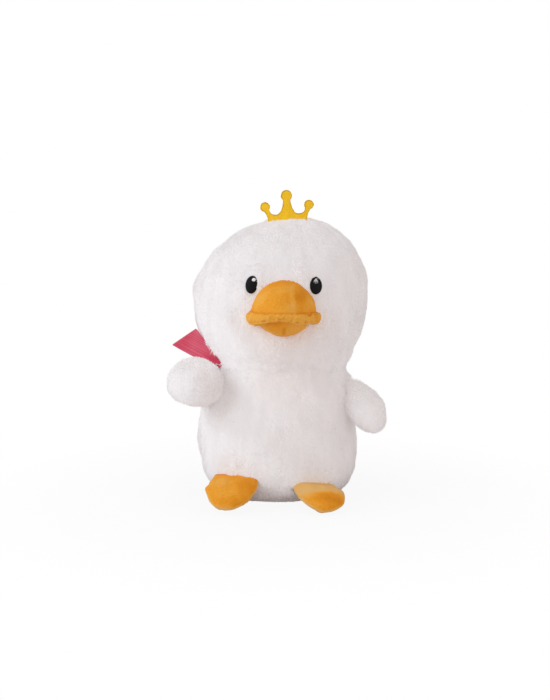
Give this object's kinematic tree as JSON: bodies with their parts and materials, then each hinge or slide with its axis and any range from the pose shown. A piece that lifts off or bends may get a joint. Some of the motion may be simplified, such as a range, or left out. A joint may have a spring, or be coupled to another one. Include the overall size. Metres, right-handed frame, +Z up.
{
  "type": "plush duck toy",
  "caption": "Upright stuffed toy duck with a round head, barrel body, stubby wings, flat velour feet, padded bill, stitched eyes, felt crown and blank swing tag",
  "frame": {"origin": "the middle of the flat base panel, on the surface the toy rests on", "axes": "+Z runs up from the base to the head, -Y is the way the toy faces, and +X is the toy's own left"},
  "size_m": [0.2099, 0.1907, 0.2979],
  "materials": {
    "white_plush": "long soft pile, matt",
    "fibre_filling": "loose polyester fibre",
    "pellet_cloth": "plain woven cloth",
    "black_thread": "satin stitch",
    "white_thread": "satin thread",
    "orange_velour": "short brushed pile with lighter and darker strokes",
    "yellow_felt": "stiff felt",
    "glossy_card": "glossy coated card"
  },
  "bodies": {
    "torso": {"body_cover": "white_plush", "base_panel": "white_plush", "body_stuffing": "fibre_filling", "pellet_bag": "pellet_cloth", "head_cover": "white_plush", "head_stuffing": "fibre_filling", "eye_left": "black_thread", "eye_glint_left": "white_thread", "eye_right": "black_thread", "eye_glint_right": "white_thread", "upper_bill": "orange_velour", "upper_bill_stuffing": "fibre_filling", "bill_lip": "orange_velour", "lower_bill": "orange_velour", "lower_bill_stuffing": "fibre_filling", "crown": "yellow_felt", "tail_cover": "white_plush", "tail_stuffing": "fibre_filling", "tag_loop": "white_thread"},
    "wing_left": {"wing_left_cover": "white_plush", "wing_left_stuffing": "fibre_filling"},
    "wing_right": {"wing_right_cover": "white_plush", "wing_right_stuffing": "fibre_filling"},
    "foot_left": {"foot_left_upper": "orange_velour", "foot_left_sole": "orange_velour", "foot_left_stuffing": "fibre_filling"},
    "foot_right": {"foot_right_upper": "orange_velour", "foot_right_sole": "orange_velour", "foot_right_stuffing": "fibre_filling"},
    "tag": {"hang_tag": "glossy_card"}
  },
  "joints": [
    {"name": "wing_left_seam", "type": "hinge", "parent": "torso", "child": "wing_left", "pos_m": [0.06942, -0.02223, 0.10604], "axis": [-0.2134, 0.09, 0.9728], "range_deg": [-40, 45]},
    {"name": "wing_right_seam", "type": "hinge", "parent": "torso", "child": "wing_right", "pos_m": [-0.06942, -0.02223, 0.10604], "axis": [0.2134, 0.09, 0.9728], "range_deg": [-45, 12]},
    {"name": "foot_left_seam", "type": "hinge", "parent": "torso", "child": "foot_left", "pos_m": [0.035, -0.0563, 0.02], "axis": [-0.9877, -0.1564, 0], "range_deg": [-3, 50]},
    {"name": "foot_right_seam", "type": "hinge", "parent": "torso", "child": "foot_right", "pos_m": [-0.04, -0.0553, 0.0255], "axis": [-0.9877, 0.1564, 0], "range_deg": [-5, 50]},
    {"name": "tag_swing", "type": "hinge", "parent": "torso", "child": "tag", "pos_m": [-0.05854, -0.03064, 0.131], "axis": [0.3083, 0.9487, -0.0698], "range_deg": [-10, 4]}
  ]
}
